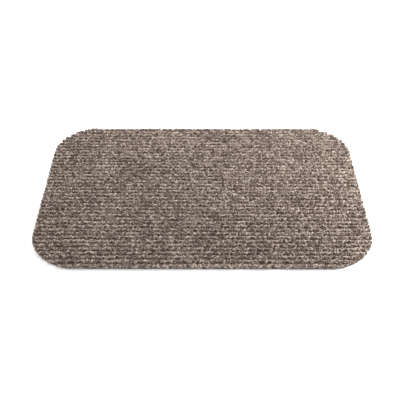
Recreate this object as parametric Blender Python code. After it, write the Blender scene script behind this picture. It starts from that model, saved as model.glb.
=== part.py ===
"""Door mat: straight rows of tufted yarn on a woven cloth, a latex coat and a non-slip vinyl backing.

Metres. The rows run along X and lie side by side along Y, and Z is up. The origin is on the floor
under the middle of the mat.
"""

import math

import bmesh
import bpy

# The mat as it is cut out.
MAT_LENGTH = 0.600  # along the rows
MAT_DEPTH = 0.400  # across the rows
CORNER_RADIUS = 0.083

# The layers, from the floor up.
VINYL_THICKNESS = 0.0018
LATEX_THICKNESS = 0.0006
CLOTH_THICKNESS = 0.0005
LAYER_GAP = 0.0003  # between one layer and the next

# The pile. The tufting needles stand 3/8 inch apart, and each sews one yarn along the mat.
NEEDLE_GAUGE = 0.009525
PILE_HEIGHT = 0.0042  # at the middle of a row
FLANK_HEIGHT = 0.0026  # at a row's two long sides
ROW_GAP = 0.0004  # between one row and the next
END_ROUND = 0.0030  # how far in from its end a row reaches its full height
END_SHARE = 0.55  # share of the height that a row has at its very end

# How finely round shapes are drawn.
CORNER_STEPS = 16
RIB_STEPS = 6
END_STEPS = 2
FIRST_RIB_ANGLE = math.radians(25)  # where the rib's round top starts at its flank

# Where each layer starts, worked up from the floor.
VINYL_BOTTOM = 0.0
LATEX_BOTTOM = VINYL_BOTTOM + VINYL_THICKNESS + LAYER_GAP
CLOTH_BOTTOM = LATEX_BOTTOM + LATEX_THICKNESS + LAYER_GAP
PILE_BOTTOM = CLOTH_BOTTOM + CLOTH_THICKNESS + LAYER_GAP

# As many whole rows as fit the depth best, spread evenly over it.
ROW_COUNT = max(1, round(MAT_DEPTH / NEEDLE_GAUGE))
ROW_PITCH = MAT_DEPTH / ROW_COUNT


def clear_scene():
    """Removes every object that the file opened with."""
    for old in list(bpy.data.objects):
        bpy.data.objects.remove(old, do_unlink=True)


def make_material(name, colour, roughness):
    """A Principled material of one plain colour, given as linear red, green and blue."""
    material = bpy.data.materials.new(name)
    material.use_nodes = True
    shader = material.node_tree.nodes["Principled BSDF"]
    shader.inputs["Base Color"].default_value = (*colour, 1.0)
    shader.inputs["Roughness"].default_value = roughness
    shader.inputs["Metallic"].default_value = 0.0
    material.diffuse_color = (*colour, 1.0)
    return material


def add_object(name, bm, parent, material):
    """Turns a bmesh into a named object under the mat, with outward faces."""
    bmesh.ops.recalc_face_normals(bm, faces=bm.faces)
    mesh = bpy.data.meshes.new(name)
    bm.to_mesh(mesh)
    bm.free()
    mesh.materials.append(material)
    piece = bpy.data.objects.new(name, mesh)
    piece.parent = parent
    bpy.context.scene.collection.objects.link(piece)
    return piece


def rounded_outline():
    """The mat's cut edge as points, anticlockwise, with each corner a quarter circle."""
    points = []
    centre_x = MAT_LENGTH / 2 - CORNER_RADIUS
    centre_y = MAT_DEPTH / 2 - CORNER_RADIUS
    for quarter, (side_x, side_y) in enumerate(((1, 1), (-1, 1), (-1, -1), (1, -1))):
        for step in range(CORNER_STEPS + 1):
            angle = (quarter + step / CORNER_STEPS) * math.pi / 2
            points.append(
                (
                    side_x * centre_x + CORNER_RADIUS * math.cos(angle),
                    side_y * centre_y + CORNER_RADIUS * math.sin(angle),
                )
            )
    return points


def half_length_at(y):
    """Half the mat's length at this distance from its middle line, shorter between the round corners."""
    into_corner = abs(y) - (MAT_DEPTH / 2 - CORNER_RADIUS)
    if into_corner <= 0:
        return MAT_LENGTH / 2
    return MAT_LENGTH / 2 - CORNER_RADIUS + math.sqrt(max(0.0, CORNER_RADIUS**2 - into_corner**2))


def make_layer(name, bottom, thickness, parent, material):
    """One flat layer of the mat: the cut outline, extruded up by its thickness."""
    bm = bmesh.new()
    outline = [bm.verts.new((x, y, 0.0)) for x, y in rounded_outline()]
    grown = bmesh.ops.extrude_face_region(bm, geom=[bm.faces.new(outline)])
    top = [item for item in grown["geom"] if isinstance(item, bmesh.types.BMVert)]
    bmesh.ops.translate(bm, verts=top, vec=(0.0, 0.0, thickness))
    layer = add_object(name, bm, parent, material)
    layer.location.z = bottom
    return layer


def rib_stations():
    """(across, height) of the rib's round top: across from -1 to 1, height above the row's base."""
    stations = []
    for step in range(RIB_STEPS + 1):
        angle = FIRST_RIB_ANGLE + (math.pi - 2 * FIRST_RIB_ANGLE) * step / RIB_STEPS
        across = -math.cos(angle) / math.cos(FIRST_RIB_ANGLE)
        rise = (math.sin(angle) - math.sin(FIRST_RIB_ANGLE)) / (1 - math.sin(FIRST_RIB_ANGLE))
        stations.append((across, FLANK_HEIGHT + (PILE_HEIGHT - FLANK_HEIGHT) * rise))
    return stations


def row_section(half_length, height):
    """The row cut lengthwise: a long bar whose two ends round over, as (x, z) points in order."""
    left = [(-half_length, 0.0)]
    for step in range(END_STEPS + 1):
        angle = math.pi / 2 * step / END_STEPS
        x = half_length - END_ROUND * (1 - math.cos(angle))
        left.append((-x, height * (END_SHARE + (1 - END_SHARE) * math.sin(angle))))
    return left + [(-x, z) for x, z in reversed(left)]


def make_pile_row(number, parent, material):
    """One yarn's row of tufts: lengthwise sections across its width, joined into a closed rib."""
    centre_y = (number - 0.5) * ROW_PITCH - MAT_DEPTH / 2
    half_width = (ROW_PITCH - ROW_GAP) / 2
    bm = bmesh.new()
    rings = []
    for across, height in rib_stations():
        offset = across * half_width
        section = row_section(half_length_at(centre_y + offset), height)
        rings.append([bm.verts.new((x, offset, z)) for x, z in section])
    corners = len(rings[0])
    for near, far in zip(rings, rings[1:]):
        for here in range(corners):
            after = (here + 1) % corners
            bm.faces.new((near[here], near[after], far[after], far[here]))
    bm.faces.new(rings[0])
    bm.faces.new(rings[-1])
    row = add_object(f"pile_row_{number:02d}", bm, parent, material)
    row.location = (0.0, centre_y, PILE_BOTTOM)
    return row


def main():
    """Builds the mat from the floor up."""
    clear_scene()
    mat = bpy.data.objects.new("door_mat", None)
    bpy.context.scene.collection.objects.link(mat)
    vinyl = make_material("grey_vinyl", (0.045, 0.042, 0.040), 0.55)
    latex = make_material("latex_compound", (0.46, 0.42, 0.34), 0.70)
    cloth = make_material("woven_backing_cloth", (0.21, 0.17, 0.14), 0.65)
    yarn = make_material("heather_yarn", (0.235, 0.184, 0.156), 0.95)
    make_layer("vinyl_backing", VINYL_BOTTOM, VINYL_THICKNESS, mat, vinyl)
    make_layer("latex_coat", LATEX_BOTTOM, LATEX_THICKNESS, mat, latex)
    make_layer("backing_cloth", CLOTH_BOTTOM, CLOTH_THICKNESS, mat, cloth)
    for number in range(1, ROW_COUNT + 1):
        make_pile_row(number, mat, yarn)


main()
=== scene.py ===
"""Looks of a tufted door mat: ribs of heather yarn, woven backing, latex coat and non-slip vinyl.

Every length is in metres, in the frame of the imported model: X along the rows, Y across them, Z up,
with the floor at zero.
"""

import logging
import math
from dataclasses import dataclass, field
from enum import Enum

import bpy
import numpy as np
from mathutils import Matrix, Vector

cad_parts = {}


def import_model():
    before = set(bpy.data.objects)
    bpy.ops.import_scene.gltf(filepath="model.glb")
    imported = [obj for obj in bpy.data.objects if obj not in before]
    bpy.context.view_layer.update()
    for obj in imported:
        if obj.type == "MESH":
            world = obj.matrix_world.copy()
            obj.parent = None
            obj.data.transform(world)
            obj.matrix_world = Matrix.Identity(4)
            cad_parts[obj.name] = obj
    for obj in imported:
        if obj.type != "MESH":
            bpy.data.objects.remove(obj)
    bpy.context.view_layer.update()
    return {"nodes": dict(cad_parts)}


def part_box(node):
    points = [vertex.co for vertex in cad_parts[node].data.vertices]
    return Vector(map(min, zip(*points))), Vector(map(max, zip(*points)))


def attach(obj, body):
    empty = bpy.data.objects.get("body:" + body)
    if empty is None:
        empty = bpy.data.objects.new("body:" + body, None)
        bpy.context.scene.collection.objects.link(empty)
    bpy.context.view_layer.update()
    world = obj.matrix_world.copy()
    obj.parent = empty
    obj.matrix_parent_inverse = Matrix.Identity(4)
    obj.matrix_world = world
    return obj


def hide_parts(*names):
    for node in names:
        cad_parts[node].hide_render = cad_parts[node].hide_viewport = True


LOG = logging.getLogger("door_mat")
BODY = "root"
MM = 0.001
Colour = tuple[float, float, float, float]


class Slot(Enum):
    """The record's material slots."""

    YARN = "pile_yarn"
    CLOTH = "backing_cloth"
    LATEX = "latex_compound"
    VINYL = "backing_vinyl"


def linear(red: float, green: float, blue: float) -> Colour:
    """A colour as a shader needs it.

    Args:
        red: the display value, from 0 to 255.
        green: the display value, from 0 to 255.
        blue: the display value, from 0 to 255.

    Returns:
        The scene-linear colour with an alpha of one.
    """
    channels = []
    for value in (red, green, blue):
        share = value / 255
        channels.append(share / 12.92 if share <= 0.04045 else ((share + 0.055) / 1.055) ** 2.4)
    return (*channels, 1.0)


class Graph:
    """A material's node tree, with short calls to add and join nodes."""

    def __init__(self, name: str) -> None:
        """Starts a material that holds one Principled shader.

        Args:
            name: the material's name.
        """
        self.material = bpy.data.materials.new(name)
        self.material.use_nodes = True
        self.tree = self.material.node_tree
        self.shader = self.tree.nodes["Principled BSDF"]

    def add(self, kind: str, **settings: object) -> bpy.types.Node:
        """Adds a node.

        Args:
            kind: the node's type, without the ShaderNode that it starts with.
            settings: the node's own properties and their values.

        Returns:
            The new node.
        """
        node = self.tree.nodes.new("ShaderNode" + kind)
        for name, value in settings.items():
            setattr(node, name, value)
        return node

    def join(self, start: bpy.types.NodeSocket, end: bpy.types.NodeSocket) -> None:
        """Links one socket to another."""
        self.tree.links.new(start, end)

    def set(self, **values: float) -> None:
        """Sets plain numbers on the shader's own sockets, named with _ for each space."""
        for name, value in values.items():
            self.shader.inputs[name.replace("_", " ")].default_value = value

    def attribute(self, name: str) -> bpy.types.Node:
        """A node that reads one of the mesh's attributes."""
        return self.add("Attribute", attribute_type="GEOMETRY", attribute_name=name)

    def noise(self, where: bpy.types.NodeSocket, scale: float, detail: float) -> bpy.types.Node:
        """A noise texture.

        Args:
            where: the coordinates that it is read at.
            scale: how fine it is.
            detail: how many finer layers it adds.

        Returns:
            The noise node.
        """
        noise = self.add("TexNoise")
        noise.inputs["Scale"].default_value = scale
        noise.inputs["Detail"].default_value = detail
        self.join(where, noise.inputs["Vector"])
        return noise

    def math(
        self, operation: str, first: object, second: object, clamp: bool = False
    ) -> bpy.types.NodeSocket:
        """Works a sum out in the tree.

        Args:
            operation: the Math node's operation.
            first: a socket or a number.
            second: a socket or a number.
            clamp: keep the result from 0 to 1.

        Returns:
            The socket that holds the result.
        """
        node = self.add("Math", operation=operation, use_clamp=clamp)
        for place, value in enumerate((first, second)):
            if isinstance(value, bpy.types.NodeSocket):
                self.join(value, node.inputs[place])
            else:
                node.inputs[place].default_value = value
        return node.outputs[0]

    def ramp(
        self, fac: bpy.types.NodeSocket, stops: list[tuple[float, Colour]]
    ) -> bpy.types.NodeSocket:
        """A colour ramp.

        Args:
            fac: what picks the colour, from 0 to 1.
            stops: (place, colour) for each stop, in order.

        Returns:
            The colour socket.
        """
        node = self.add("ValToRGB")
        marks = node.color_ramp.elements
        while len(marks) < len(stops):
            marks.new(1.0)
        for mark, (place, colour) in zip(marks, stops):
            mark.position = place
            mark.color = colour
        self.join(fac, node.inputs["Fac"])
        return node.outputs["Color"]

    def tint(self, colour: bpy.types.NodeSocket, by: bpy.types.NodeSocket) -> bpy.types.NodeSocket:
        """Multiplies one colour by another.

        Args:
            colour: the colour to change.
            by: what it is multiplied by.

        Returns:
            The socket that holds the product.
        """
        node = self.add("Mix", data_type="RGBA", blend_type="MULTIPLY")
        node.inputs["Factor"].default_value = 1.0
        self.join(colour, node.inputs["A"])
        self.join(by, node.inputs["B"])
        return node.outputs["Result"]

    def spread(self, value: bpy.types.NodeSocket, low: float, high: float) -> bpy.types.NodeSocket:
        """Spreads a value over another range.

        Args:
            value: a socket that goes from 0 to 1.
            low: what 0 becomes.
            high: what 1 becomes.

        Returns:
            The socket that holds the result.
        """
        node = self.add("MapRange")
        node.inputs["To Min"].default_value = low
        node.inputs["To Max"].default_value = high
        self.join(value, node.inputs["Value"])
        return node.outputs["Result"]

    def bump(self, height: bpy.types.NodeSocket, strength: float, depth: float) -> None:
        """Gives the shader relief.

        Args:
            height: the relief, from 0 to 1.
            strength: how much of it shows.
            depth: how deep it is, in metres.
        """
        node = self.add("Bump")
        node.inputs["Strength"].default_value = strength
        node.inputs["Distance"].default_value = depth
        self.join(height, node.inputs["Height"])
        self.join(node.outputs["Normal"], self.shader.inputs["Normal"])


@dataclass(frozen=True)
class HeatherYarn:
    """The pile's yarn: dark brown, taupe and beige fibres spun into each ply."""

    dark: Colour = linear(65, 51, 45)
    brown: Colour = linear(107, 89, 80)
    taupe: Colour = linear(140, 126, 117)
    beige: Colour = linear(173, 159, 150)
    cool: Colour = (0.94, 0.97, 1.0, 1.0)  # the two dyes, which tint those four
    warm: Colour = (1.0, 0.97, 0.89, 1.0)
    streak: float = 0.36  # how far the fibres in a ply differ from its own tone
    fibre_stretch: tuple[float, float, float] = (0.10, 1.0, 1.0)  # fine across the ply, long along it
    fibre_scale: float = 3.6
    dye_stretch: tuple[float, float, float] = (0.05, 0.3, 0.3)  # a dye changes far more slowly
    roughness: tuple[float, float] = (0.84, 1.0)
    relief: float = 0.3 * MM

    def material(self) -> bpy.types.Material:
        """The yarn's material.

        Returns:
            A material that reads the tone and lay attributes of the rows.
        """
        graph = Graph("heather_yarn")
        tone = graph.attribute("tone").outputs["Fac"]
        lay = graph.attribute("lay").outputs["Vector"]
        stretch = graph.add("Mapping")
        stretch.inputs["Scale"].default_value = self.fibre_stretch
        graph.join(lay, stretch.inputs["Vector"])
        fibres = graph.noise(stretch.outputs["Vector"], self.fibre_scale, detail=4.0).outputs["Fac"]
        shift = graph.math("MULTIPLY", graph.math("SUBTRACT", fibres, 0.5), self.streak * 2)
        mixed = graph.math("ADD", tone, shift, clamp=True)
        stops = [(0.0, self.dark), (0.38, self.brown), (0.66, self.taupe), (1.0, self.beige)]
        batch = graph.add("Mapping")
        batch.inputs["Scale"].default_value = self.dye_stretch
        graph.join(lay, batch.inputs["Vector"])
        batches = graph.noise(batch.outputs["Vector"], scale=1.0, detail=1.0).outputs["Fac"]
        undyed = graph.ramp(mixed, stops)
        dye = graph.ramp(batches, [(0.38, self.cool), (0.62, self.warm)])
        graph.join(graph.tint(undyed, dye), graph.shader.inputs["Base Color"])
        graph.join(graph.spread(fibres, *self.roughness), graph.shader.inputs["Roughness"])
        graph.bump(fibres, strength=0.6, depth=self.relief)
        graph.set(Specular_IOR_Level=0.18, Sheen_Weight=0.20, Sheen_Roughness=0.5)
        return graph.material


@dataclass(frozen=True)
class TapeCloth:
    """The cloth that the yarn is sewn through, woven from flat tapes."""

    # the tapes' own brown, kept dark partly as painted shade for the grooves between the rows where the
    # cloth shows
    tape: Colour = linear(104, 88, 77)
    # painted shade: darker towards each tape's edges and in the gaps between the tapes
    painted_gap_shade: Colour = linear(56, 45, 39)
    tape_width: float = 1.6 * MM
    flatness: float = 0.35  # the power of a tape's round section: the smaller, the flatter
    grain_scale: float = 900.0
    grain_shade: float = 0.7  # how dark the grain's darkest parts are
    roughness: tuple[float, float] = (0.5, 0.75)
    relief: float = 0.2 * MM

    def material(self) -> bpy.types.Material:
        """The cloth's material.

        Returns:
            A plain weave, in which each tape goes over one and under the next.
        """
        graph = Graph("tape_cloth")
        where = graph.add("TexCoord").outputs["Object"]
        counted = graph.add("Mapping")
        counted.inputs["Scale"].default_value = (1 / self.tape_width, 1 / self.tape_width, 0.0)
        graph.join(where, counted.inputs["Vector"])
        weave = graph.add("TexChecker")
        weave.inputs["Scale"].default_value = 1.0
        graph.join(counted.outputs["Vector"], weave.inputs["Vector"])
        split = graph.add("SeparateXYZ")
        graph.join(counted.outputs["Vector"], split.inputs["Vector"])
        rounds = []
        for axis in ("X", "Y"):
            ridge = graph.math("PINGPONG", split.outputs[axis], 0.5)
            rounds.append(graph.math("POWER", graph.math("MULTIPLY", ridge, 2.0), self.flatness))
        warp = graph.math("MULTIPLY", rounds[0], weave.outputs["Fac"])
        weft = graph.math("MULTIPLY", rounds[1], graph.math("SUBTRACT", 1.0, weave.outputs["Fac"]))
        grain = graph.noise(where, self.grain_scale, detail=2.0).outputs["Fac"]
        woven = graph.math("ADD", warp, weft)
        relief_and_shade = graph.math("MULTIPLY", woven, graph.spread(grain, self.grain_shade, 1.0))
        # the colour follows the tapes' round relief, painted shade darkening it at their edges and between
        # them
        colour = graph.ramp(relief_and_shade, [(0.3, self.painted_gap_shade), (0.9, self.tape)])
        graph.join(colour, graph.shader.inputs["Base Color"])
        graph.join(graph.spread(grain, *self.roughness), graph.shader.inputs["Roughness"])
        graph.bump(relief_and_shade, strength=0.5, depth=self.relief)
        return graph.material


@dataclass(frozen=True)
class LatexCompound:
    """Dried latex filled with chalk, which locks the stitches."""

    pale: Colour = linear(112, 100, 88)
    dull: Colour = linear(74, 64, 56)
    mottle_scale: float = 260.0
    roughness: tuple[float, float] = (0.6, 0.85)
    relief: float = 0.2 * MM

    def material(self) -> bpy.types.Material:
        """The latex's material.

        Returns:
            A matt material with the mottle of a spread coat.
        """
        graph = Graph("latex_compound")
        where = graph.add("TexCoord").outputs["Object"]
        mottle = graph.noise(where, self.mottle_scale, detail=5.0).outputs["Fac"]
        colour = graph.ramp(mottle, [(0.3, self.dull), (0.7, self.pale)])
        graph.join(colour, graph.shader.inputs["Base Color"])
        graph.join(graph.spread(mottle, *self.roughness), graph.shader.inputs["Roughness"])
        graph.bump(mottle, strength=0.4, depth=self.relief)
        return graph.material


@dataclass(frozen=True)
class GripVinyl:
    """Soft dark vinyl with a fine moulded grain."""

    face: Colour = linear(58, 54, 52)
    grain: Colour = linear(40, 37, 36)
    grain_scale: float = 700.0
    grain_share: float = 0.7  # how much of its shade comes from the grain
    bloom_scale: float = 30.0
    bloom_share: float = 0.4  # how much of it comes from the bloom
    roughness: tuple[float, float] = (0.42, 0.62)
    relief: float = 0.15 * MM

    def material(self) -> bpy.types.Material:
        """The vinyl's material.

        Returns:
            A satin material with a leathery grain and a faint bloom.
        """
        graph = Graph("grip_vinyl")
        where = graph.add("TexCoord").outputs["Object"]
        cells = graph.add("TexVoronoi")
        cells.inputs["Scale"].default_value = self.grain_scale
        graph.join(where, cells.inputs["Vector"])
        bloom = graph.noise(where, self.bloom_scale, detail=3.0).outputs["Fac"]
        from_grain = graph.math("MULTIPLY", cells.outputs["Distance"], self.grain_share)
        from_bloom = graph.math("MULTIPLY", bloom, self.bloom_share)
        shade = graph.math("ADD", from_grain, from_bloom)
        colour = graph.ramp(shade, [(0.15, self.grain), (0.75, self.face)])
        graph.join(colour, graph.shader.inputs["Base Color"])
        graph.join(graph.spread(bloom, *self.roughness), graph.shader.inputs["Roughness"])
        graph.bump(cells.outputs["Distance"], strength=0.35, depth=self.relief)
        return graph.material


@dataclass(frozen=True)
class Outline:
    """The mat's cut edge, a rectangle with round corners about the origin."""

    half_length: float
    half_depth: float
    radius: float

    @classmethod
    def of_node(cls, node: bpy.types.Object) -> "Outline":
        """Reads the outline off a flat layer.

        Args:
            node: a CAD node with the mat's full outline.

        Returns:
            The outline that its points lie on.
        """
        points = np.empty(len(node.data.vertices) * 3, np.float32)
        node.data.vertices.foreach_get("co", points)
        points = points.reshape(-1, 3)
        half_length, half_depth = float(points[:, 0].max()), float(points[:, 1].max())
        tolerance = 0.01 * MM
        straight = points[points[:, 0] > half_length - tolerance]
        return cls(half_length, half_depth, half_depth - float(straight[:, 1].max()))

    def half_length_at(self, y: np.ndarray, inset: float = 0.0) -> np.ndarray:
        """How far the mat reaches along X.

        Args:
            y: distances from the middle line.
            inset: how far inside the cut edge to stay.

        Returns:
            The reach at each distance, zero beyond the outline.
        """
        radius = self.radius - inset
        into = np.clip(np.abs(y) - (self.half_depth - self.radius), 0.0, None)
        reach = self.half_length - self.radius + np.sqrt(np.clip(radius**2 - into**2, 0.0, None))
        return np.where(into <= radius, reach, 0.0)

    def edge_from(self, points: np.ndarray) -> tuple[np.ndarray, np.ndarray]:
        """Where the cut edge is from each point.

        Args:
            points: an array whose first two columns are X and Y.

        Returns:
            How deep inside the edge each point is, negative outside it, and the direction out to it.
        """
        straight = np.array([self.half_length - self.radius, self.half_depth - self.radius])
        into = np.abs(points[:, :2]) - straight
        corner = into.clip(0.0)
        reach = np.linalg.norm(corner, axis=1)
        depth = self.radius - reach - np.minimum(into.max(axis=1), 0.0)
        outward = np.stack([into[:, 0] > into[:, 1], into[:, 0] <= into[:, 1]], 1).astype(float)
        turned = into.min(axis=1) > 0.0
        outward[turned] = corner[turned] / reach[turned, None]
        return depth, outward * np.sign(points[:, :2])

    def across(self, corner_lines: int, middle_step: float) -> np.ndarray:
        """Lines across the depth that follow the round corners evenly.

        Args:
            corner_lines: how many lines each corner has.
            middle_step: how far apart the lines between the corners are, at most.

        Returns:
            The lines' places, from front to back.
        """
        straight = self.half_depth - self.radius
        turns = np.linspace(0.0, math.pi / 2, corner_lines + 1)
        corner = straight + self.radius * np.sin(turns)
        middle = np.linspace(-straight, straight, max(2, math.ceil(2 * straight / middle_step)) + 1)
        return np.concatenate([-corner[:0:-1], middle, corner[1:]])


@dataclass
class MeshDraft:
    """Points and faces on their way to becoming one object."""

    name: str
    points: list[np.ndarray] = field(default_factory=list)
    quads: list[np.ndarray] = field(default_factory=list)
    fans: list[np.ndarray] = field(default_factory=list)
    count: int = 0

    def add_points(self, points: np.ndarray) -> int:
        """Adds points.

        Args:
            points: an array of (x, y, z).

        Returns:
            The number of the first of them.
        """
        first = self.count
        self.points.append(points.reshape(-1, 3))
        self.count += len(self.points[-1])
        return first

    def build(self, material: bpy.types.Material, smooth: bool) -> bpy.types.Object:
        """Makes the object.

        Args:
            material: what it wears.
            smooth: shade it smooth.

        Returns:
            The new object, linked to the scene. Its quads come before its fans.
        """
        points = np.concatenate(self.points).astype(np.float32)
        quads = np.concatenate(self.quads).astype(np.int32)
        sizes = np.concatenate([np.full(len(quads), 4), [len(fan) for fan in self.fans]]).astype(np.int32)
        corners = np.concatenate([quads.ravel(), *self.fans]).astype(np.int32)
        starts = np.concatenate([[0], np.cumsum(sizes)[:-1]]).astype(np.int32)
        mesh = bpy.data.meshes.new(self.name)
        mesh.vertices.add(len(points))
        mesh.vertices.foreach_set("co", points.ravel())
        mesh.loops.add(len(corners))
        mesh.loops.foreach_set("vertex_index", corners)
        mesh.polygons.add(len(sizes))
        mesh.polygons.foreach_set("loop_start", starts)
        mesh.update(calc_edges=True)
        mesh.polygons.foreach_set("use_smooth", np.full(len(sizes), smooth))
        mesh.materials.append(material)
        piece = bpy.data.objects.new(self.name, mesh)
        bpy.context.scene.collection.objects.link(piece)
        return piece


def settle(piece: bpy.types.Object, node: str) -> None:
    """Puts a finished piece in the place of its CAD node.

    Args:
        piece: the finished piece.
        node: the CAD node that it stands for.
    """
    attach(piece, BODY)
    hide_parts(node)
    LOG.info("%s: %d faces, stands for %s", piece.name, len(piece.data.polygons), node)


def smooth_steps(values: np.ndarray, at: np.ndarray) -> np.ndarray:
    """Values that change softly from one whole number to the next.

    Args:
        values: the value at 0, 1, 2 and so on.
        at: where to read them.

    Returns:
        The value at each place, held level past both ends.
    """
    low = np.clip(np.floor(at).astype(int), 0, len(values) - 2)
    share = np.clip(at - low, 0.0, 1.0)
    share = share * share * (3 - 2 * share)
    return values[low] * (1 - share) + values[low + 1] * share


def drift(rng: np.random.Generator, spread: float, count: int, at: np.ndarray) -> np.ndarray:
    """Random values about zero that change softly from one to the next.

    Args:
        rng: where they are drawn from.
        spread: their standard deviation.
        count: how many are drawn, with one or two to spare past the last place.
        at: where to read them, with the first at 0, the next at 1 and so on.

    Returns:
        The value at each place.
    """
    return smooth_steps(rng.normal(0.0, spread, count), at)


def circle(count: int) -> np.ndarray:
    """Angles evenly round a circle."""
    return 2 * math.pi * np.arange(count) / count


def sweep_frames(centres: np.ndarray) -> tuple[np.ndarray, np.ndarray]:
    """Directions across a set of tubes that turn no more than the tubes do.

    Args:
        centres: each tube's points along its middle, as (tubes, points, 3).

    Returns:
        Two directions for each point, square to the tube and to each other.
    """
    ahead = np.gradient(centres, axis=1)
    ahead /= np.linalg.norm(ahead, axis=2, keepdims=True)
    side = np.empty_like(ahead)
    carried = np.broadcast_to(np.array([0.0, 1.0, 0.0]), ahead[:, 0].shape)
    for step in range(ahead.shape[1]):
        here = ahead[:, step]
        carried = carried - here * (carried * here).sum(axis=1, keepdims=True)
        carried = carried / np.sqrt((carried * carried).sum(axis=1, keepdims=True))
        side[:, step] = carried
    return side, np.cross(ahead, side)


@dataclass(frozen=True)
class LayShadePatches:
    """Broad soft patches of painted light and shade over the whole mat, paler or darker, standing in for
    the shading of the pile's brushed lay.
    """

    seed: int = 31
    waves: int = 16
    shortest: float = 45 * MM
    longest: float = 190 * MM

    def at(self, x: np.ndarray, y: np.ndarray) -> np.ndarray:
        """Reads the patches.

        Args:
            x: places along the rows.
            y: places across them, as many.

        Returns:
            How pale each place is painted, as painted light above zero and painted shade below it; about
            zero with a standard deviation of about one.
        """
        rng = np.random.default_rng(self.seed)
        length = rng.uniform(self.shortest, self.longest, self.waves)
        heading = rng.uniform(0.0, 2 * math.pi, self.waves)
        phase = rng.uniform(0.0, 2 * math.pi, self.waves)
        waves = (x[..., None] * np.cos(heading) + y[..., None] * np.sin(heading)) * 2 * math.pi / length
        return np.sin(waves + phase).sum(axis=-1) * math.sqrt(2 / self.waves)


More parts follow.
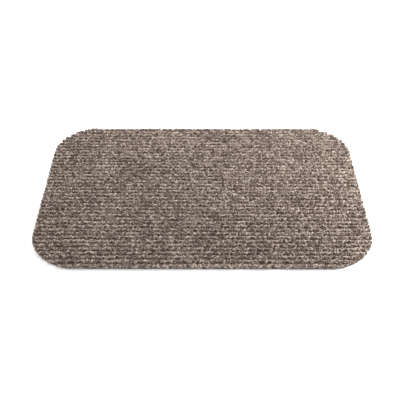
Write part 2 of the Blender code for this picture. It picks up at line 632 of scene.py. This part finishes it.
@dataclass
class PileRow:
    """One soft yarn, sewn as a straight row of loops whose plies have opened out like a fan."""

    number: int
    outline: Outline
    centre_y: float
    half_width: float
    pile_bottom: float
    pile_top: float
    first_seed: int = 7000  # the rows' random numbers start from this plus their own number

    # The loops.
    stitch: float = 4.4 * MM
    stitch_stray: float = 0.16  # how unevenly the loops are spaced, as a share of a stitch
    loop_reach: float = 1.9 * MM  # how far a loop bulges out each way from its foot to its top
    roundness: float = 0.7  # under 1, the loops have rounder tops and steeper legs
    turn_range: tuple[float, float] = (40.0, 88.0)  # degrees that a loop turns from the row's line
    lean_spread: float = 0.6 * MM  # how unevenly the loops lean aside
    lean_limit: float = 1.4 * MM
    height_spread: float = 0.5 * MM  # how unevenly high they stand
    height_limits: tuple[float, float] = (-1.3 * MM, 0.9 * MM)
    stray_spread: float = 0.35 * MM  # how far the whole row wanders aside
    stray_loops: int = 6  # over how many loops it does so
    foot_depth: float = 1.2 * MM  # how far below the pile the yarn dips, through the cloth, between loops
    foot_spread: float = 0.45 * MM  # how far the plies stand apart there
    end_stride: float = 0.5  # how far the yarn goes on past the middle of its end loops, in stitches

    # The plies.
    ply_tones: tuple[float, ...] = (0.18, 0.38, 0.50, 0.62, 0.82)  # one ply for each tone
    ply_radius: float = 0.92 * MM
    foot_thickness: float = 0.70  # share of the radius that a ply has in the cloth
    top_thickness: float = 0.30  # share of it that a ply gains on its way to the top of a loop
    unevenness: float = 0.10  # how much its thickness varies, as a share of it
    uneven_rings: int = 4  # over how many rings it does so
    fan_angle: float = math.radians(74)  # how far the outer plies lean from the middle one
    fan_stray: float = 0.16  # how unevenly they lean, in radians
    fan_width: float = 2.65 * MM
    fan_drop: float = 3.6 * MM
    ply_rise: float = 0.25 * MM  # how unevenly high the plies of a loop stand
    ply_turn: float = 0.45  # how far a ply turns from its loop, in radians
    ply_shift: float = 0.5 * MM  # how far it moves along the row from its loop
    fibre_twist: float = 1.6 * MM  # how far along a ply its fibres take to turn by one radian
    ply_apart: float = 97.0  # how far apart two plies' fibres are read, so that none match
    row_apart: float = 13.0  # the same for two rows' fibres

    # The cut edge.
    width_share: float = 0.35  # a row's length is read this share of half a rib nearer the middle line
    end_inset: float = 2.6 * MM  # how far inside the cut edge a row's last loops stand
    edge_zone: float = 12.0 * MM  # how near the cut edge the loops start to lean out
    edge_lean: float = 3.6 * MM
    edge_drop: float = 0.5 * MM
    edge_keep: float = 2.0 * MM  # how far inside the cut edge the yarn's feet stay
    overhang: float = 0.4 * MM  # how far past it the middle of a ply may lean

    # The tones, each with how many times it changes in a loop, or how many loops it takes to.
    shared_tone: float = 0.15
    shared_steps: int = 2
    short_tone: float = 0.23
    short_steps: int = 4
    long_tone: float = 0.08
    long_loops: int = 5
    painted_shade: float = 0.035  # how much the patches' painted light and shade change the tone

    # How finely it is drawn.
    sides: int = 6
    rings_per_loop: int = 10
    crowding: float = 0.07  # how far the rings crowd towards the top of a loop, where it bends most
    bake_steps: int = 80  # how many rings of a ply share one strip of the baked map

    @property
    def plies(self) -> int:
        """How many plies the yarn has."""
        return len(self.ply_tones)

    def loop_places(self, rng: np.random.Generator) -> np.ndarray:
        """Where along the row each loop stands, a little unevenly.

        Args:
            rng: the row's own random numbers.

        Returns:
            The loops' places along X.
        """
        inner = abs(self.centre_y) - self.half_width * self.width_share
        reach = float(self.outline.half_length_at(np.array(inner))) - self.end_inset
        count = max(3, round(2 * reach / self.stitch))
        places = np.linspace(-reach, reach, count)
        places[1:-1] += rng.normal(0.0, self.stitch_stray * self.stitch, count - 2)
        return places

    def height_along(self, loops: np.ndarray) -> np.ndarray:
        """How far up its loop a ply is, from 0 in the cloth to 1 at the top, for places in loops."""
        return ((1 - np.cos(2 * math.pi * loops)) / 2) ** self.roundness

    def ply_paths(self, rng: np.random.Generator) -> tuple[np.ndarray, np.ndarray]:
        """The way each ply goes, up and over in every loop.

        Args:
            rng: the row's own random numbers.

        Returns:
            Each ply's points, as (plies, points, 3), and each point's place counted in loops.
        """
        places = self.loop_places(rng)
        count = len(places)
        loops = np.arange(count * self.rings_per_loop + 1) / self.rings_per_loop
        loops += self.crowding * np.sin(2 * math.pi * loops)
        apex = loops - 0.5
        past_end = apex - apex.clip(0, count - 1)
        along = np.interp(apex, np.arange(count), places) + past_end * self.stitch * self.end_stride
        swing = -self.loop_reach * np.sin(2 * math.pi * loops)
        up = self.height_along(loops)

        turn = np.radians(rng.uniform(*self.turn_range, count))
        turn *= np.where(rng.random(count) < 0.5, -1, 1)
        lean = rng.normal(0.0, self.lean_spread, count).clip(-self.lean_limit, self.lean_limit)
        height = rng.normal(0.0, self.height_spread, count).clip(*self.height_limits)
        bends = count // self.stray_loops + 3
        stray = drift(rng, self.stray_spread, bends, np.arange(count) / self.stray_loops)
        order = np.argsort(rng.random((count, self.plies)), axis=1)

        bottom = self.pile_bottom - self.foot_depth
        paths = np.empty((self.plies, len(loops), 3))
        for ply in range(self.plies):
            fan = (order[:, ply] / (self.plies - 1) - 0.5) * 2 * self.fan_angle
            fan += rng.normal(0.0, self.fan_stray, count)
            aside = lean + self.fan_width * np.sin(fan)
            raised = height - self.fan_drop * (1 - np.cos(fan)) + rng.normal(0.0, self.ply_rise, count)
            own_turn = smooth_steps(turn + rng.normal(0.0, self.ply_turn, count), apex)
            foot = 2 * math.pi * (ply / self.plies + rng.random())
            x = along + swing * np.cos(own_turn) + drift(rng, self.ply_shift, count, apex) * up
            y = self.centre_y + swing * np.sin(own_turn) + smooth_steps(stray, apex)
            y += smooth_steps(aside, apex) * up
            top = self.pile_top - self.ply_radius + smooth_steps(raised, apex)
            paths[ply, :, 0] = x + self.foot_spread * math.cos(foot) * (1 - up)
            paths[ply, :, 1] = y + self.foot_spread * math.sin(foot) * (1 - up)
            paths[ply, :, 2] = bottom + (top - bottom) * up
            self.meet_edge(paths[ply], up)
        return paths, loops

    def meet_edge(self, path: np.ndarray, up: np.ndarray) -> None:
        """Leans the loops out over the mat's cut edge, and keeps them from going far past it.

        Args:
            path: one ply's points, changed in place.
            up: how far up its loop each point is, from 0 to 1.
        """
        depth, outward = self.outline.edge_from(path)
        near = np.clip(1 - depth / self.edge_zone, 0.0, 1.0)
        path[:, :2] += outward * (self.edge_lean * near * up)[:, None]
        path[:, 2] -= self.edge_drop * near * up
        depth, outward = self.outline.edge_from(path)
        keep = self.edge_keep * (1 - up) - self.overhang * up
        path[:, :2] -= outward * np.clip(keep - depth, 0.0, None)[:, None]

    def tones(self, loops: np.ndarray, rng: np.random.Generator) -> np.ndarray:
        """How dark or pale the plies are.

        Args:
            loops: each point's place, counted in loops.
            rng: the row's own random numbers.

        Returns:
            The tone at each point, as (plies, points), from 0, dark, to 1, pale.
        """
        count = round(loops[-1]) + 1
        shared = drift(rng, self.shared_tone, count * self.shared_steps + 2, loops * self.shared_steps)
        tones = []
        for base in self.ply_tones:
            short = drift(rng, self.short_tone, count * self.short_steps + 2, loops * self.short_steps)
            long = drift(rng, self.long_tone, count // self.long_loops + 3, loops / self.long_loops)
            tones.append(base + shared + short + long)
        return np.array(tones)

    def skin_ply(self, draft: MeshDraft, path: np.ndarray, spokes: np.ndarray, radius: np.ndarray) -> None:
        """Wraps a ply in rings of faces, closed at both ends.

        Args:
            draft: the mesh that it joins.
            path: the points along its middle.
            spokes: the directions out to each ring's corners, as (points, sides, 3).
            radius: how thick it is at each point.
        """
        steps = len(path) - 1
        around = np.arange(self.sides)
        first = draft.add_points(path[:, None] + spokes * radius[:, None, None])
        rings = first + np.arange(steps)[:, None] * self.sides
        here, beside = rings + around, rings + (around + 1) % self.sides
        quads = np.stack([here, beside, beside + self.sides, here + self.sides], 2)
        draft.quads.append(quads.reshape(-1, 4))
        draft.fans.append(first + around[::-1])
        draft.fans.append(first + steps * self.sides + around)

    def fibre_lay(self, ply: int, path: np.ndarray) -> np.ndarray:
        """Coordinates for a ply's fibres, along it and twisting round it.

        Args:
            ply: the ply's number.
            path: the points along its middle.

        Returns:
            The coordinates at each corner of each ring, as (corners, 3).
        """
        travelled = np.linalg.norm(np.diff(path, axis=0), axis=1)
        travelled = np.concatenate([[0.0], np.cumsum(travelled)])
        turn = circle(self.sides)[None] + (travelled / self.fibre_twist)[:, None]
        lay = np.empty((len(path), self.sides, 3))
        lay[:, :, 0] = (travelled / self.ply_radius)[:, None]
        lay[:, :, 0] += self.ply_apart * ply
        lay[:, :, 0] += self.row_apart * self.number
        lay[:, :, 1] = np.cos(turn)
        lay[:, :, 2] = np.sin(turn)
        return lay.reshape(-1, 3)

    def build(self, material: bpy.types.Material) -> bpy.types.Object:
        """Sweeps the plies along their paths.

        Args:
            material: the yarn's material.

        Returns:
            The finished row.
        """
        rng = np.random.default_rng(self.first_seed + self.number)
        paths, loops = self.ply_paths(rng)
        side, top = sweep_frames(paths)
        up = self.height_along(loops)
        # the tones, with broad patches of painted light and shade added
        tones = self.tones(loops, rng) + self.painted_shade * LayShadePatches().at(paths[:, :, 0], paths[:, :, 1])
        rings = np.arange(len(loops))
        corner = circle(self.sides)[:, None]
        draft = MeshDraft(f"yarn_row_{self.number:02d}")
        lays = []
        for ply, path in enumerate(paths):
            changes = len(loops) // self.uneven_rings + 3
            uneven = 1 + drift(rng, self.unevenness, changes, rings / self.uneven_rings)
            radius = self.ply_radius * (self.foot_thickness + self.top_thickness * up) * uneven
            spokes = np.cos(corner) * side[ply][:, None] + np.sin(corner) * top[ply][:, None]
            self.skin_ply(draft, path, spokes, radius)
            lays.append(self.fibre_lay(ply, path))
        piece = draft.build(material, smooth=True)
        tone = piece.data.attributes.new("tone", "FLOAT", "POINT")
        tone.data.foreach_set("value", np.repeat(tones.ravel(), self.sides).astype(np.float32))
        lay = piece.data.attributes.new("lay", "FLOAT_VECTOR", "POINT")
        lay.data.foreach_set("vector", np.concatenate(lays).astype(np.float32).ravel())
        self.lay_out(piece.data, len(loops) - 1)
        return piece

    def lay_out(self, mesh: bpy.types.Mesh, steps: int) -> None:
        """Lays the plies' skins side by side in strips on the map that their colours are baked through.

        Args:
            mesh: the row's mesh, whose quads come first, ply by ply.
            steps: how many steps from ring to ring each ply has.
        """
        margin, cover = 0.06, 0.999  # share of a strip left clear at each side, and of a step used
        cap_side, cap_corner = 0.0005, 0.0002  # the end caps lie small in the map's first corner
        per_ply = math.ceil(steps / self.bake_steps)
        strips = per_ply * self.plies
        step, ply, side = np.arange(steps), np.arange(self.plies), np.arange(self.sides)
        strip = ply[:, None] * per_ply + step[None] // self.bake_steps
        left = (step % self.bake_steps) / self.bake_steps
        tall = (1 - 2 * margin) / strips / self.sides
        low = (strip[:, :, None] + margin) / strips + side[None, None] * tall
        left = np.broadcast_to(left[None, :, None], low.shape)
        right = left + cover / self.bake_steps
        flat = np.stack([left, low, left, low + tall, right, low + tall, right, low], 3).reshape(-1, 2)
        caps = len(mesh.loops) - len(flat)
        corner = np.stack([np.arange(caps) % 3, np.arange(caps) % 2], 1) * cap_side + cap_corner
        layer = mesh.uv_layers.new(name="OFBake")
        layer.data.foreach_set("uv", np.concatenate([flat, corner]).astype(np.float32).ravel())


@dataclass
class Pile:
    """All the mat's rows of yarn."""

    outline: Outline

    def build(self, nodes: dict[str, bpy.types.Object], finish: HeatherYarn) -> None:
        """Makes each row in the place of its CAD rib.

        Args:
            nodes: the CAD nodes by name.
            finish: the yarn's finish.
        """
        material = finish.material()
        names = sorted(name for name in nodes if name.startswith("pile_row_"))
        for place, name in enumerate(names):
            low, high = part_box(name)
            row = PileRow(
                number=place + 1,
                outline=self.outline,
                centre_y=(low.y + high.y) / 2,
                half_width=(high.y - low.y) / 2,
                pile_bottom=low.z,
                pile_top=high.z,
            )
            settle(row.build(material), name)


@dataclass
class Layer:
    """A flat layer of the mat between two heights, drawn as a closed grid."""

    outline: Outline
    name: str
    bottom: float
    top: float
    inset: float = 0.0
    corner_lines: int = 22
    step: float = 6 * MM
    sharp_angle: float = math.radians(40)

    def build(self, material: bpy.types.Material) -> bpy.types.Object:
        """Makes the layer.

        Args:
            material: what it wears.

        Returns:
            The finished layer.
        """
        lines = self.outline.across(self.corner_lines, self.step)
        reach = self.outline.half_length_at(lines)
        columns = round(2 * self.outline.half_length / self.step)
        share = np.linspace(-1.0, 1.0, columns + 1)
        x = (reach - self.inset)[:, None] * share[None]
        y = np.broadcast_to((lines * (1 - self.inset / self.outline.half_depth))[:, None], x.shape)
        top = np.stack([x, y, np.full_like(x, self.top)], 2)
        bottom = np.stack([x, y, np.full_like(x, self.bottom)], 2)
        self.relief(top, bottom)
        draft = MeshDraft(self.name)
        upper, lower = draft.add_points(top), draft.add_points(bottom)
        wide = columns + 1
        cell = (np.arange(len(lines) - 1)[:, None] * wide + np.arange(columns)[None]).reshape(-1, 1)
        draft.quads.append(upper + cell + np.array([[0, 1, wide + 1, wide]]))
        draft.quads.append(lower + cell + np.array([[0, wide, wide + 1, 1]]))
        rim = np.concatenate(
            [
                np.arange(wide),
                np.arange(1, len(lines)) * wide + columns,
                (len(lines) - 1) * wide + np.arange(columns)[::-1],
                np.arange(1, len(lines) - 1)[::-1] * wide,
            ]
        )
        after = np.roll(rim, -1)
        draft.quads.append(np.stack([lower + rim, lower + after, upper + after, upper + rim], 1))
        piece = draft.build(material, smooth=True)
        piece.data.set_sharp_from_angle(angle=self.sharp_angle)
        return piece

    def relief(self, top: np.ndarray, bottom: np.ndarray) -> None:
        """Shapes the two faces in place; a plain layer has none."""


@dataclass(kw_only=True)
class PuckeredCloth(Layer):
    """The backing cloth, drawn down where each row is sewn through it."""

    first_row: float  # the middle of the front row
    pitch: float  # from one row to the next
    pucker: float = 0.18 * MM
    lift: float = 0.2  # share of the pucker by which its underside stands higher between rows

    def relief(self, top: np.ndarray, bottom: np.ndarray) -> None:
        """Dips the cloth along each row.

        Args:
            top: the upper face's points.
            bottom: the lower face's points.
        """
        rows = (top[:, :, 1] - self.first_row) / self.pitch
        dip = self.pucker * (0.5 + 0.5 * np.cos(2 * math.pi * rows))
        top[:, :, 2] -= dip
        bottom[:, :, 2] += self.lift * (self.pucker - dip)


@dataclass
class VinylBacking(Layer):
    """The non-slip layer, with low round nubs under it that touch the floor."""

    nub_pitch: float = 12 * MM
    nub_radius: float = 2.2 * MM
    nub_height: float = 0.35 * MM
    nub_taper: float = 0.8  # share of its radius that a nub has at the floor
    nub_overlap: float = 0.1 * MM
    nub_sides: int = 10
    edge_margin: float = 7 * MM

    def build(self, material: bpy.types.Material) -> bpy.types.Object:
        """Makes the sheet and its nubs as one piece.

        Args:
            material: the vinyl's material.

        Returns:
            The finished backing.
        """
        sheet = super().build(material)
        draft = MeshDraft("nubs")
        row_pitch = self.nub_pitch * math.sin(math.pi / 3)
        rows = int(2 * self.outline.half_depth / row_pitch)
        columns = int(2 * self.outline.half_length / self.nub_pitch)
        for row in range(rows + 1):
            y = (row - rows / 2) * row_pitch
            reach = float(self.outline.half_length_at(np.array(y), self.edge_margin))
            for column in range(columns + 1):
                x = (column - columns / 2 + 0.5 * (row % 2)) * self.nub_pitch
                if abs(x) < reach - self.edge_margin:
                    self.add_nub(draft, x, y)
        nubs = draft.build(material, smooth=False)
        with bpy.context.temp_override(active_object=sheet, selected_editable_objects=[sheet, nubs]):
            bpy.ops.object.join()
        return sheet

    def add_nub(self, draft: MeshDraft, x: float, y: float) -> None:
        """Adds one nub, a low cone cut off flat at the floor.

        Args:
            draft: the mesh that it joins.
            x: its middle along the mat.
            y: its middle across the mat.
        """
        turn = circle(self.nub_sides)
        end = (self.nub_taper * self.nub_radius, self.bottom - self.nub_height)
        root = (self.nub_radius, self.bottom + self.nub_overlap)
        rings = []
        for radius, z in (end, root):
            ring = (x + radius * np.cos(turn), y + radius * np.sin(turn), np.full_like(turn, z))
            rings.append(np.stack(ring, 1))
        first = draft.add_points(np.concatenate(rings))
        here = first + np.arange(self.nub_sides)
        beside = first + (np.arange(self.nub_sides) + 1) % self.nub_sides
        draft.quads.append(np.stack([here, beside, beside + self.nub_sides, here + self.nub_sides], 1))
        draft.fans.append(here[::-1])
        draft.fans.append(here + self.nub_sides)


@dataclass
class Backing:
    """The three layers under the pile, each a little smaller than the mat."""

    outline: Outline
    vinyl_inset: float = 1.2 * MM
    latex_inset: float = 1.5 * MM
    cloth_inset: float = 1.4 * MM
    cloth_step: float = 2.4 * MM

    def build(self) -> None:
        """Makes the cloth, the latex and the vinyl, each meeting the next."""
        vinyl_low, vinyl_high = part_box("vinyl_backing")
        latex_low, latex_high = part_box("latex_coat")
        cloth_low, cloth_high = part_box("backing_cloth")
        vinyl_top = (vinyl_high.z + latex_low.z) / 2
        latex_top = (latex_high.z + cloth_low.z) / 2
        vinyl = VinylBacking(self.outline, "vinyl_underlay", vinyl_low.z, vinyl_top, self.vinyl_inset)
        vinyl.bottom += vinyl.nub_height
        settle(vinyl.build(GripVinyl().material()), "vinyl_backing")
        latex = Layer(self.outline, "latex_layer", vinyl_top, latex_top, self.latex_inset)
        settle(latex.build(LatexCompound().material()), "latex_coat")
        row_low, row_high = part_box("pile_row_01")
        next_low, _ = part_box("pile_row_02")
        cloth = PuckeredCloth(
            self.outline,
            "woven_cloth",
            latex_top,
            cloth_high.z,
            inset=self.cloth_inset,
            step=self.cloth_step,
            first_row=(row_low.y + row_high.y) / 2,
            pitch=next_low.y - row_low.y,
        )
        piece = cloth.build(TapeCloth().material())
        settle(piece, "backing_cloth")


@dataclass(frozen=True)
class SoftBox:
    """A square light that faces the mat."""

    name: str
    place: tuple[float, float, float]
    side: float
    power: float  # in watts

    def hang(self) -> None:
        """Hangs the light in its place, where the camera doesn't see it."""
        data = bpy.data.lights.new(self.name, "AREA")
        data.shape, data.size, data.energy = "SQUARE", self.side, self.power
        lamp = bpy.data.objects.new(self.name, data)
        lamp.location = self.place
        lamp.rotation_euler = (-Vector(self.place)).to_track_quat("-Z", "Y").to_euler()
        lamp.visible_camera = False
        bpy.context.scene.collection.objects.link(lamp)


@dataclass
class Studio:
    """A pale floor, soft light and the camera."""

    floor_side: float = 8.0
    floor_colour: Colour = (0.97, 0.97, 0.97, 1.0)
    sky_colour: Colour = (1.0, 1.0, 1.0, 1.0)
    sky_strength: float = 1.20
    back_box: SoftBox = SoftBox("back_box", (-0.08, 0.58, 0.38), 0.45, 7.2)
    side_box: SoftBox = SoftBox("side_box", (0.60, -0.04, 0.26), 0.3, 4.6)
    sensor_width: float = 36.0  # in millimetres, as the lens is
    lens: float = 60.79
    distance: float = 1.275
    elevation: float = math.radians(41.5)
    azimuth: float = math.radians(0.11)
    target: tuple[float, float, float] = (-0.0041, -0.0226, 0.0)

    def build(self) -> None:
        """Makes the floor, the lights and the camera."""
        self.lay_floor()
        self.light()
        self.aim_camera()

    def lay_floor(self) -> None:
        """A plain white floor that isn't part of the mat."""
        half = self.floor_side / 2
        mesh = bpy.data.meshes.new("studio_floor")
        corners = [(-half, -half, 0), (half, -half, 0), (half, half, 0), (-half, half, 0)]
        mesh.from_pydata(corners, [], [(0, 1, 2, 3)])
        graph = Graph("studio_floor")
        graph.shader.inputs["Base Color"].default_value = self.floor_colour
        graph.set(Roughness=0.9, Specular_IOR_Level=0.1)
        mesh.materials.append(graph.material)
        floor = bpy.data.objects.new("studio_floor", mesh)
        bpy.context.scene.collection.objects.link(floor)

    def light(self) -> None:
        """Even light from all round, and two soft boxes, behind the mat and to its right."""
        world = bpy.data.worlds.new("studio")
        world.use_nodes = True
        sky = world.node_tree.nodes["Background"]
        sky.inputs["Color"].default_value = self.sky_colour
        sky.inputs["Strength"].default_value = self.sky_strength
        bpy.context.scene.world = world
        self.back_box.hang()
        self.side_box.hang()

    def aim_camera(self) -> None:
        """Looks down at the mat from the front."""
        data = bpy.data.cameras.new("camera")
        data.lens, data.sensor_width = self.lens, self.sensor_width
        camera = bpy.data.objects.new("camera", data)
        back = Vector(
            (
                math.sin(self.azimuth) * math.cos(self.elevation),
                -math.cos(self.azimuth) * math.cos(self.elevation),
                math.sin(self.elevation),
            )
        )
        camera.location = Vector(self.target) + back * self.distance
        camera.rotation_euler = (-back).to_track_quat("-Z", "Y").to_euler()
        bpy.context.scene.collection.objects.link(camera)
        bpy.context.scene.camera = camera


def main() -> None:
    """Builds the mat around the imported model."""
    logging.basicConfig(level=logging.INFO, format="%(name)s: %(message)s")
    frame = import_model()
    bpy.context.scene.view_settings.view_transform = "Standard"
    Studio().build()
    outline = Outline.of_node(frame["nodes"]["backing_cloth"])
    Backing(outline).build()
    Pile(outline).build(frame["nodes"], HeatherYarn())


if __name__ == "__main__":
    main()
